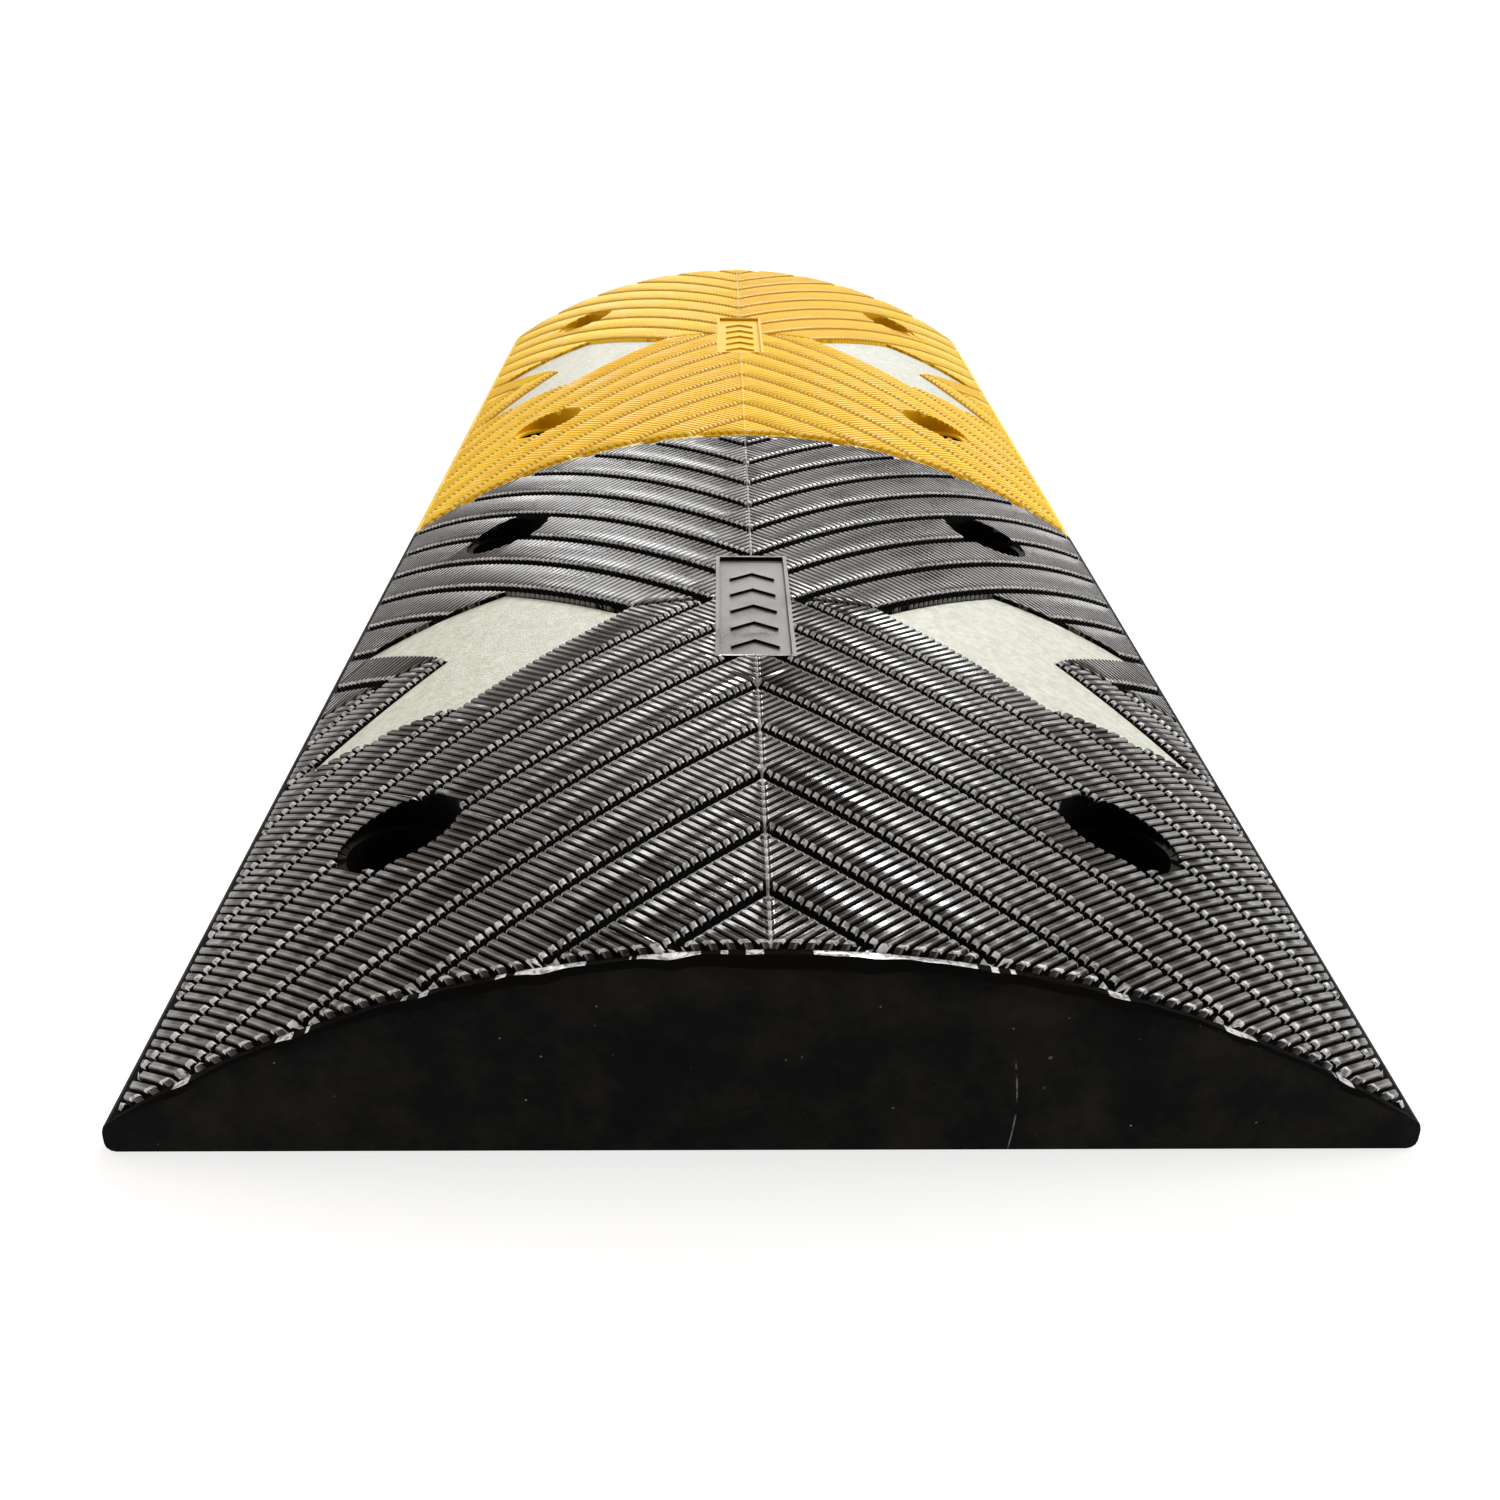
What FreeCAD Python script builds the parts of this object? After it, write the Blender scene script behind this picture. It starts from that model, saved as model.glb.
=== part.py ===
import FreeCAD, Part
import math
import os
import Sketcher

# A two-module rubber speed bump, bolted down end to end across a lane.
# Frame: +X across the bump in the driving direction, +Y along it, +Z up, origin on the
# road surface at the middle of the joint between the two modules. Millimetres.
# The black module lies on the -Y side of the joint and the yellow one on the +Y side.
# Every module-level tool is built with the module's centre at the origin, and only the
# finished pieces carry a placement that moves them along Y.

SIZES = {
    "module_length": 500,
    "module_width": 380,
    "crown_height": 70,
    "lip_height": 10,
    "lip_top_radius": 8,
    "lip_bottom_radius": 3,
    "overrun": 20,
    "cover_thickness": 11,
    "arrow_tip_x": 54.5,
    "arrow_shoulder_x": 110.5,
    "arrow_notch_x": 127.5,
    "arrow_tail_x": 178,
    "arrow_half_width": 56,
    "arrow_corner_radius": 1.2,
    "arrow_sink": 2,
    "arrow_thickness": 2.5,
    "recess_gap": 0.8,
    "plate_width": 28,
    "plate_length": 106,
    "plate_depth": 2.2,
    "bolt_offset_x": 121,
    "bolt_offset_y": 148,
    "mouth_radius": 21,
    "ledge_height": 37,
    "ledge_skin": 1.5,
    "mouth_wall": 2,
    "socket_radius": 18,
    "socket_floor": 15,
    "bolt_hole_radius": 9,
}

RISE = "(Sizes.crown_height - Sizes.lip_height)"
DOME_RADIUS = f"((Sizes.module_width^2 / 4 + {RISE}^2) / (2 * {RISE}))"
BLACK_MIDDLE = "-Sizes.module_length / 2"
YELLOW_MIDDLE = "Sizes.module_length / 2"
ALONG_Y = FreeCAD.Rotation(FreeCAD.Vector(1, 0, 0), -90)
HALF_TURN = FreeCAD.Rotation(FreeCAD.Vector(0, 0, 1), 180)
CORNERS = [(side, end) for side in (-1, 1) for end in (-1, 1)]

doc = FreeCAD.newDocument("rubber_speed_bump")
sheet = doc.addObject("Spreadsheet::Sheet", "Sizes")
for row, (alias, value) in enumerate(SIZES.items(), start=1):
    sheet.set(f"A{row}", alias)
    sheet.set(f"B{row}", str(value))
    sheet.setAlias(f"B{row}", alias)
doc.recompute()


def bind(obj, **expressions):
    """Ties properties of an object to expressions; a double underscore stands for a dot."""
    for name, expression in expressions.items():
        obj.setExpression(name.replace("__", "."), expression)
    return obj


def boolean(kind, name, base, tool):
    """A Part::Cut or Part::Common of two shapes."""
    result = doc.addObject("Part::" + kind, name)
    result.Base = base
    result.Tool = tool
    return result


def fuse(name, shapes):
    """One tool made of several shapes."""
    result = doc.addObject("Part::MultiFuse", name)
    result.Shapes = shapes
    return result


def dome(name, drop):
    """The humped prism of one module, its curved top lying `drop` below the tread's top."""
    block = doc.addObject("Part::Box", name + "_block")
    bind(
        block,
        Length="Sizes.module_width",
        Width="Sizes.module_length",
        Height="Sizes.crown_height + Sizes.overrun",
        Placement__Base__x="-Sizes.module_width / 2",
        Placement__Base__y="-Sizes.module_length / 2",
    )
    barrel = doc.addObject("Part::Cylinder", name + "_barrel")
    barrel.Placement.Rotation = ALONG_Y
    bind(
        barrel,
        Radius=f"{DOME_RADIUS} - ({drop})",
        Height="Sizes.module_length + 2 * Sizes.overrun",
        Placement__Base__y="-Sizes.module_length / 2 - Sizes.overrun",
        Placement__Base__z=f"Sizes.crown_height - {DOME_RADIUS}",
    )
    return boolean("Common", name, block, barrel)


def lip_radius(edge):
    """The rounding of a long edge at the side of the dome, or 0 for any other edge."""
    middle = edge.BoundBox.Center
    if abs(abs(middle.x) - sheet.module_width / 2) > 0.01 or edge.BoundBox.YLength < 1:
        return 0
    return sheet.lip_top_radius if middle.z > sheet.lip_height / 2 else sheet.lip_bottom_radius


def rounded_dome(name):
    """The outer shape of a module, with its low side lips rounded above and below."""
    sharp = dome(name + "_sharp", "0")
    doc.recompute()
    rounded = doc.addObject("Part::Fillet", name)
    rounded.Base = sharp
    radii = enumerate(map(lip_radius, sharp.Shape.Edges), start=1)
    rounded.Edges = [(number, radius, radius) for number, radius in radii if radius > 0]
    return rounded


def arrow_corners(gap):
    """The six corners of the right-hand arrow, widened by `gap`: X from the crown line and
    Y from the module's near end, as expressions."""
    aside = f"{math.sqrt(2)} * ({gap})"
    half = f"(Sizes.arrow_half_width + {gap})"
    front_run = "(Sizes.arrow_shoulder_x - Sizes.arrow_tip_x) / Sizes.arrow_half_width"
    back_run = "(Sizes.arrow_tail_x - Sizes.arrow_notch_x) / Sizes.arrow_half_width"
    tip = f"Sizes.arrow_tip_x - {aside}"
    notch = f"Sizes.arrow_notch_x + {aside}"
    shoulder = f"{tip} + {half} * {front_run}"
    tail = f"{notch} + {half} * {back_run}"
    middle = "Sizes.module_length / 2"
    return [
        (tip, middle),
        (shoulder, f"{middle} + {half}"),
        (tail, f"{middle} + {half}"),
        (notch, middle),
        (tail, f"{middle} - {half}"),
        (shoulder, f"{middle} - {half}"),
    ]


def arrow_prism(name, gap):
    """An upright prism on the arrow's outline, tall enough to pass through the whole dome."""
    body = doc.addObject("PartDesign::Body", name)
    planes = [item for item in body.Origin.OriginFeatures if item.Role == "XY_Plane"]
    outline = body.newObject("Sketcher::SketchObject", name + "_outline")
    outline.AttachmentSupport = [(planes[0], "")]
    outline.MapMode = "FlatFace"
    corners = arrow_corners(gap)
    guess = [(50, 250), (110, 300), (170, 300), (130, 250), (170, 200), (110, 200)]
    start_point, origin = 1, -1
    for index, (x, y) in enumerate(guess):
        next_x, next_y = guess[(index + 1) % len(guess)]
        start = FreeCAD.Vector(x, y, 0)
        outline.addGeometry(Part.LineSegment(start, FreeCAD.Vector(next_x, next_y, 0)), False)
    for index in range(len(guess)):
        following = (index + 1) % len(guess)
        joint = Sketcher.Constraint("Coincident", index, 2, following, start_point)
        outline.addConstraint(joint)
    for index, (x, y) in enumerate(corners):
        for axis, expression, value in (("X", x, guess[index][0]), ("Y", y, guess[index][1])):
            size = Sketcher.Constraint("Distance" + axis, origin, 1, index, start_point, value)
            number = outline.addConstraint(size)
            outline.renameConstraint(number, f"corner_{index}_{axis.lower()}")
            outline.setExpression(f"Constraints.corner_{index}_{axis.lower()}", expression)
    pad = body.newObject("PartDesign::Pad", name + "_pad")
    pad.Profile = outline
    bind(pad, Length="Sizes.crown_height + Sizes.overrun")
    doc.recompute()
    rounding = body.newObject("PartDesign::Fillet", name + "_corners")
    edges = enumerate(pad.Shape.Edges, start=1)
    upright = [f"Edge{number}" for number, edge in edges if edge.BoundBox.ZLength > 1]
    rounding.Base = (pad, upright)
    bind(rounding, Radius="Sizes.arrow_corner_radius")
    return bind(body, Placement__Base__y="-Sizes.module_length / 2")


def opposite(name, source):
    """The same shape on the other side of the crown line, by a half turn about Z."""
    copy = doc.addObject("Part::Compound", name)
    copy.Links = [source]
    copy.Placement.Rotation = HALF_TURN
    return copy


def arrow_pair(name, gap):
    """Right-hand and left-hand arrow prisms."""
    right = arrow_prism(name + "_right", gap)
    return right, opposite(name + "_left", right)


def bolt_column(name, side, end, radius, bottom):
    """An upright cylinder at one bolt position, from `bottom` to above the dome."""
    column = doc.addObject("Part::Cylinder", name)
    return bind(
        column,
        Radius=radius,
        Height=f"Sizes.crown_height + Sizes.overrun - ({bottom})",
        Placement__Base__x=f"{side} * Sizes.bolt_offset_x",
        Placement__Base__y=f"{end} * Sizes.bolt_offset_y",
        Placement__Base__z=bottom,
    )


def bolt_openings(name):
    """The wide mouth, the socket for head and washer, and the bolt hole, four times."""
    steps = {
        "mouth": ("Sizes.mouth_radius", "Sizes.ledge_height"),
        "socket": ("Sizes.socket_radius", "Sizes.socket_floor"),
        "hole": ("Sizes.bolt_hole_radius", "-Sizes.overrun"),
    }
    columns = []
    for number, (side, end) in enumerate(CORNERS, start=1):
        for step, (radius, bottom) in steps.items():
            columns.append(bolt_column(f"{name}_{step}_{number}", side, end, radius, bottom))
    return fuse(name, columns)


def name_plate_pocket(name):
    """The shallow flat-bottomed pocket on the crown line in the middle of a module."""
    block = doc.addObject("Part::Box", name)
    return bind(
        block,
        Length="Sizes.plate_width",
        Width="Sizes.plate_length",
        Height="Sizes.plate_depth + Sizes.overrun",
        Placement__Base__x="-Sizes.plate_width / 2",
        Placement__Base__y="-Sizes.plate_length / 2",
        Placement__Base__z="Sizes.crown_height - Sizes.plate_depth",
    )


def arrow_recesses(name):
    """Two arrow-shaped pockets whose floors follow the dome."""
    recess_depth = "Sizes.arrow_sink + Sizes.arrow_thickness"
    outlines = fuse(name + "_outlines", arrow_pair(name + "_outline", "Sizes.recess_gap"))
    return boolean("Cut", name, outlines, dome(name + "_floor", recess_depth))


def core(name):
    """The black rubber base of the yellow module before its bolt openings are cut: the dome
    lowered by the cover's thickness, with a flat-topped seat round each bolt. The seat stands
    up through the cover's lower part on the outer side, and is let into the core on the crown
    side, where the cover runs down to the ledge."""
    inner = dome(name + "_dome", "Sizes.cover_thickness")
    seat_radius = "Sizes.mouth_radius + Sizes.mouth_wall"
    seat_top = "Sizes.ledge_height - Sizes.ledge_skin"
    cups, seats = [], []
    for number, (side, end) in enumerate(CORNERS, start=1):
        cups.append(bolt_column(f"{name}_cup_{number}", side, end, seat_radius, seat_top))
        seat = bolt_column(f"{name}_seat_{number}", side, end, seat_radius, "0")
        seats.append(bind(seat, Height=seat_top))
    cupped = boolean("Cut", name + "_cupped", inner, fuse(name + "_cups", cups))
    return fuse(name, [cupped] + seats)


def place(obj, label, middle):
    """Gives a finished piece its node name and its place along the bump."""
    obj.Label = label
    bind(obj, Placement__Base__y=middle)
    return obj


def arrow_insert(name, outline):
    """A curved reflective plate that lies on a recess floor, just below the tread's top."""
    top = dome(name + "_top", "Sizes.arrow_sink")
    below = dome(name + "_below", "Sizes.arrow_sink + Sizes.arrow_thickness")
    return boolean("Common", name, outline, boolean("Cut", name + "_layer", top, below))


openings = bolt_openings("bolt_openings")
surface_pockets = [arrow_recesses("arrow_recesses"), name_plate_pocket("plate_pocket")]
all_openings = fuse("all_openings", [openings] + surface_pockets)

black_blank = rounded_dome("black_blank")
black_body = place(
    boolean("Cut", "black_body", black_blank, all_openings), "black_module_body", BLACK_MIDDLE
)

yellow_core = core("yellow_core")
yellow_base = place(
    boolean("Cut", "yellow_base", yellow_core, openings), "yellow_module_base", YELLOW_MIDDLE
)
yellow_blank = rounded_dome("yellow_blank")
yellow_shell = boolean("Cut", "yellow_shell", yellow_blank, yellow_core)
yellow_cover = place(
    boolean("Cut", "yellow_cover", yellow_shell, all_openings),
    "yellow_module_cover",
    YELLOW_MIDDLE,
)

nodes = [black_body, yellow_base, yellow_cover]
for colour, middle in (("black", BLACK_MIDDLE), ("yellow", YELLOW_MIDDLE)):
    right_outline, left_outline = arrow_pair(colour + "_arrow", "0")
    for side, outline in (("right", right_outline), ("left", left_outline)):
        insert = arrow_insert(f"{colour}_{side}_insert", outline)
        nodes.append(place(insert, f"{colour}_module_{side}_arrow", middle))

doc.recompute()

for obj in doc.Objects:
    if "Invalid" in obj.State or "Error" in obj.State:
        raise RuntimeError(f"{obj.Label} failed: {obj.State}")

os.makedirs("parts", exist_ok=True)
for node in nodes:
    shape = node.Shape
    if shape.isNull() or not shape.isValid() or len(shape.Solids) != 1:
        raise RuntimeError(f"{node.Label} is not one valid solid")
    shape.exportStep(f"parts/{node.Label}.step")
    box = shape.BoundBox
    print(
        f"{node.Label}: {shape.Volume / 1000:.1f} cm3, X {box.XMin:.1f} to {box.XMax:.1f},"
        f" Y {box.YMin:.1f} to {box.YMax:.1f}, Z {box.ZMin:.1f} to {box.ZMax:.1f}"
    )
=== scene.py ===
import math

import bmesh
import bpy
import numpy as np
from mathutils import Matrix, Vector, noise


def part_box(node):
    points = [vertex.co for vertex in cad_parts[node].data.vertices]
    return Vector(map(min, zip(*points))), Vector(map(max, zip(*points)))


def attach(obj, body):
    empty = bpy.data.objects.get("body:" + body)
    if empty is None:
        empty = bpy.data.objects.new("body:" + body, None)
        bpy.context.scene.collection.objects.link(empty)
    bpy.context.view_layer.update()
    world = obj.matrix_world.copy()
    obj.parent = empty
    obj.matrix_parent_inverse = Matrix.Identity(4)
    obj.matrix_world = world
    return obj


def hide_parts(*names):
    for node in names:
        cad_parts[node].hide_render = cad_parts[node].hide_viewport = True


# Looks of the two-module rubber speed bump. Meshes are worked out in millimetres, in the
# module's own plan (x across, y along, from the module's middle), and become metres when
# they are made into objects.

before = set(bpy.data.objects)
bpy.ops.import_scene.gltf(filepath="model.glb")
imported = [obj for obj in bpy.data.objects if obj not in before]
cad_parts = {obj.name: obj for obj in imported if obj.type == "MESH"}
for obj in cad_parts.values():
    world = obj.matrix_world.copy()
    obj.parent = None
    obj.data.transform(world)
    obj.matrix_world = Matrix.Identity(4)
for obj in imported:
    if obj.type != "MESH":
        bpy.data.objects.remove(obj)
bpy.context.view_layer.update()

MM = 0.001
ROOT_2 = math.sqrt(2)


def node_box(name):
    """Lowest and highest corner of a CAD node, in millimetres."""
    low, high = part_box(name)
    return low / MM, high / MM


BLACK_LOW, BLACK_HIGH = node_box("black_module_body")
YELLOW_LOW, YELLOW_HIGH = node_box("yellow_module_cover")
HALF_WIDTH = BLACK_HIGH.x
HALF_LENGTH = (BLACK_HIGH.y - BLACK_LOW.y) / 2
BLACK_MIDDLE = (BLACK_HIGH.y + BLACK_LOW.y) / 2
YELLOW_MIDDLE = (YELLOW_HIGH.y + YELLOW_LOW.y) / 2
CROWN = BLACK_HIGH.z
LIP_HEIGHT = 10
LIP_TOP_RADIUS = 8
LIP_BOTTOM_RADIUS = 3
RISE = CROWN - LIP_HEIGHT
DOME_RADIUS = (HALF_WIDTH**2 + RISE**2) / (2 * RISE)
DOME_AXIS = CROWN - DOME_RADIUS
COVER_THICKNESS = CROWN - node_box("yellow_module_base")[1].z

# The tread. Ribs and grooves lie at 45 degrees to the crown line. u is the distance from the
# middle of the tread square to the ribs, and v the distance square to the grooves.
RIB_PITCH = 3.42
RIB_HEIGHT = 2.1
RIB_LINES = (-1.55, -1.2, -0.8, 0.8, 1.2, 1.55)
RIB_FLAT = 0.75
RIB_FOOT = 1.55
RIB_FLANK = 2.2
RIB_END = 1.9
RIB_END_WIDTH = 0.55
GROOVE_PITCH = 24.4
GROOVE_START = 11.0
GROOVE_DEPTH = 3.2
GROOVE_FLOOR = 0.5
GROOVE_SIDE = 1.2
TREAD_SHIFT = 4.5
TREAD_REACH = 187.0
EDGE_BAND = 1.1
EDGE_STEP = 1.4
CROWN_BAND = 0.7
CROWN_SEAM = 0.45
BAND_PARTS = 5
SNAP = 0.2
MERGE_STEPS = 10000

# Lines of vertices along a groove, outwards of its middle. In a module's near half a row of
# rib ends stands along both sides of a groove, in its far half only along the outer side.
NEAR_BEAD = (1.75, 3.1)
FAR_BEAD = (2.3, 4.0)
FAR_GAP = -3.1
GROOVE_BED = (-GROOVE_SIDE, -GROOVE_FLOOR, GROOVE_FLOOR, GROOVE_SIDE)
NEAR_LINES = (-NEAR_BEAD[1], -NEAR_BEAD[0], *GROOVE_BED, *NEAR_BEAD)
FAR_LINES = (FAR_GAP, *GROOVE_BED, *FAR_BEAD)

# The moulded strip between the tread and the end faces, as rings of vertices from the inside
# out. A ring holds its x at the sides, its inset from the end face, its depth under the dome
# at the sides, and its depth at the ends: under the dome, or for a mould ring under the mould
# line that runs along the end face.
END_STRIP = 3.8
SIDE_DEPTH = 0.9
EDGE_RINGS = (
    (TREAD_REACH + 0.4, 3.3, 1.5, 1.9),
    (TREAD_REACH + 0.7, 1.0, 1.2, 1.6),
    (TREAD_REACH + 1.0, 0.5, 1.0, 2.1),
)
MOULD_RINGS = (
    (TREAD_REACH + 1.2, 0.3, SIDE_DEPTH, 0.0),
    (TREAD_REACH + 1.3, 0.05, SIDE_DEPTH, 0.45),
)
STRIP_RINGS = EDGE_RINGS + MOULD_RINGS

# How uneven the strip is along the ends: its bulges where grooves run out, its ripples, and
# the mould line, which lies at a share of the end face's height under the dome.
CORNER_FADE = 14
OUTLET_WIDTH = 3.2
OUTLET_BULGE = 0.35
OUTLET_DROP = 1.3
CREST_DROP = 0.5
RIPPLE_PITCH = 9.0
RIPPLE_INSET = 0.3
RIPPLE_DROP = 0.35
MOULD_SHARE = 0.055
MOULD_SWELL = 0.7
MOULD_PITCH = 60.0
MOULD_SEED = 20
MOULD_GAP = 0.6

# The sides of a module, in the order in which a ring of vertices runs round it.
NEAR_END, RIGHT_SIDE, FAR_END, LEFT_SIDE = range(4)
LIP_STEPS = (49, 41, 49, 41)
LIP_BEND = 0.8

PLATE_WIDTH = 28
PLATE_LENGTH = 106
PLATE_DEPTH = 2.2
PLATE_RIM = 1.6
PLATE_RIM_DROP = 0.35
PLATE_RIM_ROOT = 3
PLATE_OVERLAP = 0.4
CHEVRON_COUNT = 5
CHEVRON_PITCH = 18
CHEVRON_REACH = 0.34
CHEVRON_RISE = 7
CHEVRON_THICKNESS = 4.5
CHEVRON_HEIGHT = 1.2
CHEVRON_ROOT = 1

BOLT_X = 121
BOLT_Y = 148
MOUTH_RADIUS = 21
LEDGE_HEIGHT = 37
SOCKET_RADIUS = 18
SOCKET_FLOOR = 15
BOLT_HOLE_RADIUS = 9
SEAT_RADIUS = 23
SEAT_TOP = 35.5

ARROW_TIP_X = 54.5
ARROW_SHOULDER_X = 110.5
ARROW_NOTCH_X = 127.5
ARROW_TAIL_X = 178
ARROW_HALF_WIDTH = 56
ARROW_RECESS = 4.5
ARROW_STEP = 4.0
RECESS_GAP = 0.8

OVERRUN = 20
LATHE_STEPS = 64
CORE_STEPS = 65
SHARP_ANGLE = 50

# Looks. Colours are linear, and the painted highlight line along each rib is in millimetres.
# Finishes of a module's faces, in material-slot order. The second is a pale painted highlight (on
# rib ends, the crown seam, flecks of the end strip and the plate rim), the third a near-black
# painted shade (in grooves and gaps, on and under the end strip, on pocket and mouth walls), and
# on the black module the fifth is a grey painted reflection on the name plate.
FINISHES = ("tread", "highlight_paint", "grooves", "plain", "smooth")
TREAD, PAINTED_HIGHLIGHT, PAINTED_SHADE, PLAIN, SMOOTH = range(len(FINISHES))
DUST = (0.42, 0.40, 0.37)
SPECKLE = (0.02, 0.02, 0.02)
PAINTED_LINE_COLOUR = (0.62, 0.58, 0.52)
LINE_PLACE = 0.5
LINE_WIDTH = 0.5
PAINTED_LINE_STRENGTH = 0.3
PATCHES = (0.35, 0.65)

# The scratch on an end face, in metres, and its specks: how many cells to the metre, and the
# radius of a speck as a share of its cell.
SCRATCH_X = 0.070
SCRATCH_SWAY = 0.0012
SCRATCH_TURN = 110
SCRATCH_EDGE = (0.00012, 0.0003)
SCRATCH_TOP = (0.030, 0.033)
SPECKS = ((60, 0.05), (190, 0.075))

# Which faces get which finish, in millimetres: half the width of a rib end, the depth from
# which a tread gets painted shade as a groove, the row of rib ends along the strip, and how
# the strip shines; the rib ends, that row and the shine are painted highlights.
BEAD_REACH = 1.1
GROOVE_TOP = 1.35
KNOB_ROW = (0.7, 1.9)
SEAM_REACH = CROWN_BAND * 0.6
STRIP_FLOOR = 3.2
STRIP_SHINE_X = 168
OUTLET_SHINE = 0.35
FLECK_SEED, FLECK_PITCH, FLECK_LEVEL = 60, 2.5, -0.3
CREST_SEED, CREST_PITCH, CREST_LEVEL = 40, 14.0, -0.12
CREST_X = 75
CREST_EDGE = 2.2
END_BAND = 1.5

# The stage, in metres and degrees. The sky fades between two heights of its unit sphere.
FLOOR_SIZE = 60
SKY_BAND = (0.06, 0.3)
WARM = (1.0, 0.91, 0.82)
CAMERA_PLACE = (-0.01462, -0.8400, 0.3080)
CAMERA_PITCH = 27.52
CAMERA_YAW = -1.367
CAMERA_ROLL = 0.798
CAMERA_LENS = 36.75


# ---------------------------------------------------------------- mesh helpers


def dome_height(x):
    """Height of the tread's top at a distance x from the crown line."""
    return DOME_AXIS + np.sqrt(DOME_RADIUS**2 - np.square(x))


def below_dome(x, y, depth):
    """Points `depth` below the tread's top, measured square to the dome."""
    lean = x / DOME_RADIUS
    upright = (dome_height(x) - DOME_AXIS) / DOME_RADIUS
    return np.column_stack([x - depth * lean, y, dome_height(x) - depth * upright])


def make_object(name, points, faces, middle):
    """A mesh object from points in a module's own plan, with all faces turned outwards."""
    mesh = bpy.data.meshes.new(name)
    shifted = (np.asarray(points, float) + (0, middle, 0)) * MM
    mesh.from_pydata(shifted.tolist(), [], faces)
    edit = bmesh.new()
    edit.from_mesh(mesh)
    bmesh.ops.recalc_face_normals(edit, faces=edit.faces)
    edit.to_mesh(mesh)
    edit.free()
    piece = bpy.data.objects.new(name, mesh)
    bpy.context.scene.collection.objects.link(piece)
    return piece


def combine(piece, operation, tools):
    """Applies Booleans to a piece, one tool after another, and deletes the tools."""
    for tool in tools:
        modifier = piece.modifiers.new("combine", "BOOLEAN")
        modifier.operation = operation
        modifier.object = tool
        modifier.solver = "MANIFOLD"
    result = bpy.data.meshes.new_from_object(
        piece.evaluated_get(bpy.context.evaluated_depsgraph_get())
    )
    piece.modifiers.clear()
    piece.data = result
    for tool in tools:
        bpy.data.objects.remove(tool)
    return piece


# ---------------------------------------------------------------- the tread


def lattice_offsets(u, v):
    """How far a place is outwards of the middle of the nearest rib, and of the nearest groove."""
    ribs = u / RIB_PITCH
    grooves = (v - GROOVE_START) / GROOVE_PITCH
    return (ribs - np.round(ribs)) * RIB_PITCH, (grooves - np.round(grooves)) * GROOVE_PITCH


def quarter_lattice(reach_y, groove_lines):
    """The lattice of the quarter of a tread where x and y are positive: the line of u and the
    places v of each row of vertices, the v at which the row starts and ends, and whether it
    ends at the crown line. The first and last v are exactly on the edge of the quarter."""
    farthest = (TREAD_REACH + reach_y) / ROOT_2
    count = int(farthest / RIB_PITCH) + 2
    u = (np.arange(count)[:, None] * RIB_PITCH + np.array(RIB_LINES)[None, :]).ravel()
    corners = [0.0, TREAD_REACH / ROOT_2, reach_y / ROOT_2, farthest]
    u = np.array([value for value in u if 0 < value < farthest])
    near_corner = np.min(np.abs(u[:, None] - np.array(corners)[None, :]), axis=1)
    u = np.sort(np.concatenate([u[near_corner > SNAP], corners]))

    low = np.maximum(-u, u - ROOT_2 * TREAD_REACH)
    high = np.minimum(u, ROOT_2 * reach_y - u)
    crown_side = u < reach_y / ROOT_2
    room = (high - low) / BAND_PARTS
    low_band = np.minimum(EDGE_BAND, room)
    high_band = np.minimum(np.where(crown_side, CROWN_BAND, EDGE_BAND), room)
    inner_step = np.minimum(EDGE_STEP, room)

    first = math.floor((low.min() - GROOVE_START) / GROOVE_PITCH)
    last = math.ceil((high.max() - GROOVE_START) / GROOVE_PITCH)
    grooves = GROOVE_START + np.arange(first, last + 1) * GROOVE_PITCH
    lines = (grooves[:, None] + np.array(groove_lines)[None, :]).ravel()
    inner_low = (low + low_band + inner_step)[:, None]
    inner_high = (high - high_band - inner_step)[:, None]
    v = np.broadcast_to(lines[None, :], (len(u), len(lines)))
    v = np.where(v < inner_low + SNAP, inner_low, v)
    v = np.where(v > inner_high - SNAP, inner_high, v)
    v = np.column_stack([low, low + low_band, v, high - high_band, high])
    return u[:, None], v, low[:, None], high[:, None], crown_side[:, None]


def tread_depth(u, v, low, high, crown_side):
    """How far the ribs and grooves of a quarter's lattice lie under the dome."""
    rib_offset, groove_offset = np.abs(lattice_offsets(np.broadcast_to(u, v.shape), v))
    from_low = v - low
    from_high = np.where(crown_side, GROOVE_PITCH, high - v)
    end_gap = np.minimum(np.minimum(groove_offset - GROOVE_SIDE, from_low), from_high)
    rise = 1 - np.square(1 - np.clip(end_gap / RIB_END, 0, 1))
    narrowed = rib_offset / (RIB_END_WIDTH + (1 - RIB_END_WIDTH) * rise)
    flank = np.clip((narrowed - RIB_FLAT) / (RIB_FOOT - RIB_FLAT), 0, 1)
    depth = RIB_HEIGHT * (1 - rise * (1 - flank**RIB_FLANK))
    wall = np.clip((GROOVE_SIDE - groove_offset) / (GROOVE_SIDE - GROOVE_FLOOR), 0, 1)
    depth = depth + (GROOVE_DEPTH - RIB_HEIGHT) * wall
    on_crown = crown_side & (high - v < 1e-6)
    return np.where(on_crown, -CROWN_SEAM, depth)


def tread_quarter(reach_y, groove_lines):
    """Plan points, depths and quads of the quarter of a tread where x and y are positive."""
    u, v, low, high, crown_side = quarter_lattice(reach_y, groove_lines)
    depth = tread_depth(u, v, low, high, crown_side)
    x, y = (u - v) / ROOT_2, (u + v) / ROOT_2
    rows, columns = v.shape
    index = np.arange(rows * columns).reshape(rows, columns)
    quads = np.stack(
        [index[:-1, :-1], index[1:, :-1], index[1:, 1:], index[:-1, 1:]], axis=-1
    ).reshape(-1, 4)
    return x.ravel(), y.ravel(), depth.ravel(), quads


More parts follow.
